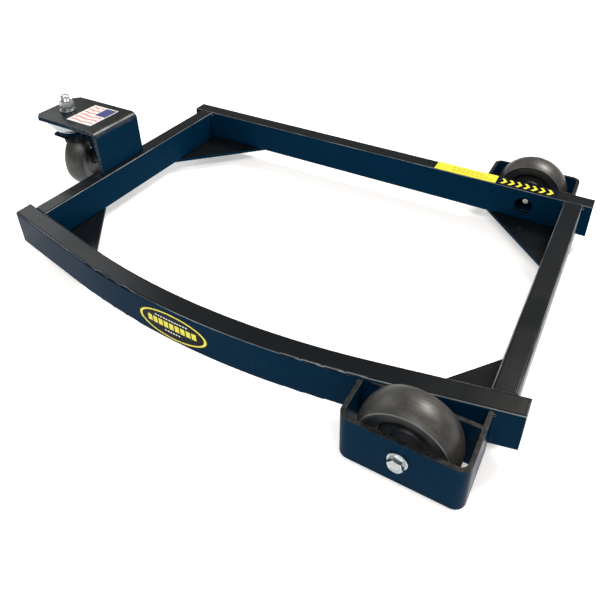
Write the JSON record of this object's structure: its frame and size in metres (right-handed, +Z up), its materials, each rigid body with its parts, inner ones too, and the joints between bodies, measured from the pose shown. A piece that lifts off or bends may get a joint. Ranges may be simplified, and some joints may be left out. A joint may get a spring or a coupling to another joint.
{
  "type": "mobile machine base",
  "caption": "Low welded tube frame with a bowed front rail, corner plates to stand a machine on, fixed wheels in strap boxes at one end and a swivel caster under a raised bracket at the other.",
  "frame": {"origin": "on the floor, under the middle of the bounding box with the caster trailing as stored", "axes": "+X along the front and rear rails towards the fixed wheels' end, -Y towards the bowed front rail, +Z up"},
  "size_m": [0.8129, 0.5724, 0.1729],
  "materials": {
    "black_paint": "gloss black paint, worn along bends and plate edges",
    "zinc": "bright zinc plating, satin",
    "caster_zinc": "zinc plating on pressed steel, satin",
    "fork_black": "satin black coating",
    "wheel_rubber": "hard dark rubber, scuffed tread",
    "bushing_nylon": "natural nylon",
    "ball_steel": "polished steel"
  },
  "bodies": {
    "frame": {"bow_rail": "black_paint", "rear_rail": "black_paint", "left_rail": "black_paint", "right_rail": "black_paint", "rail_end_caps": "black_paint", "corner_plate_front_left": "black_paint", "corner_plate_front_right": "black_paint", "corner_plate_rear_left": "black_paint", "corner_plate_rear_right": "black_paint", "front_wheel_strap": "black_paint", "front_backing_plate": "black_paint", "rear_wheel_strap": "black_paint", "rear_backing_plate": "black_paint", "caster_bracket": "black_paint", "corner_welds": "black_paint", "wheel_box_welds": "black_paint", "bracket_weld": "black_paint", "corner_plate_welds": "black_paint", "front_axle_bolt": "zinc", "front_axle_washer": "zinc", "front_axle_sleeve": "zinc", "front_thrust_washers": "zinc", "front_axle_nut": "fork_black", "rear_axle_bolt": "zinc", "rear_axle_washer": "zinc", "rear_axle_sleeve": "zinc", "rear_thrust_washers": "zinc", "rear_axle_nut": "fork_black", "stem_bolt": "zinc", "stem_washer": "zinc", "stem_lock_washer": "zinc", "stem_nut": "zinc", "swivel_cup": "caster_zinc"},
    "front_wheel": {"front_wheel": "wheel_rubber", "front_wheel_bushing": "bushing_nylon"},
    "rear_wheel": {"rear_wheel": "wheel_rubber", "rear_wheel_bushing": "bushing_nylon"},
    "caster_fork": {"fork_crown": "fork_black", "fork_legs": "fork_black", "swivel_balls": "ball_steel", "caster_axle_bolt": "fork_black", "caster_axle_washers": "fork_black", "caster_axle_nut": "fork_black", "caster_axle_sleeve": "zinc", "caster_thrust_washers": "zinc"},
    "caster_wheel": {"caster_wheel": "wheel_rubber", "caster_wheel_bushing": "bushing_nylon"}
  },
  "joints": [
    {"name": "front_wheel_spin", "type": "hinge", "parent": "frame", "child": "front_wheel", "pos_m": [0.315, -0.24985, 0.052], "axis": [0, 1, 0], "continuous": true},
    {"name": "rear_wheel_spin", "type": "hinge", "parent": "frame", "child": "rear_wheel", "pos_m": [0.315, 0.25065, 0.052], "axis": [0, 1, 0], "continuous": true},
    {"name": "caster_swivel", "type": "hinge", "parent": "frame", "child": "caster_fork", "pos_m": [-0.364, -0.022, 0.1095], "axis": [0, 0, 1], "continuous": true},
    {"name": "caster_wheel_spin", "type": "hinge", "parent": "caster_fork", "child": "caster_wheel", "pos_m": [-0.37227, 0.00684, 0.052], "axis": [0.9613, 0.2756, 0], "continuous": true}
  ]
}
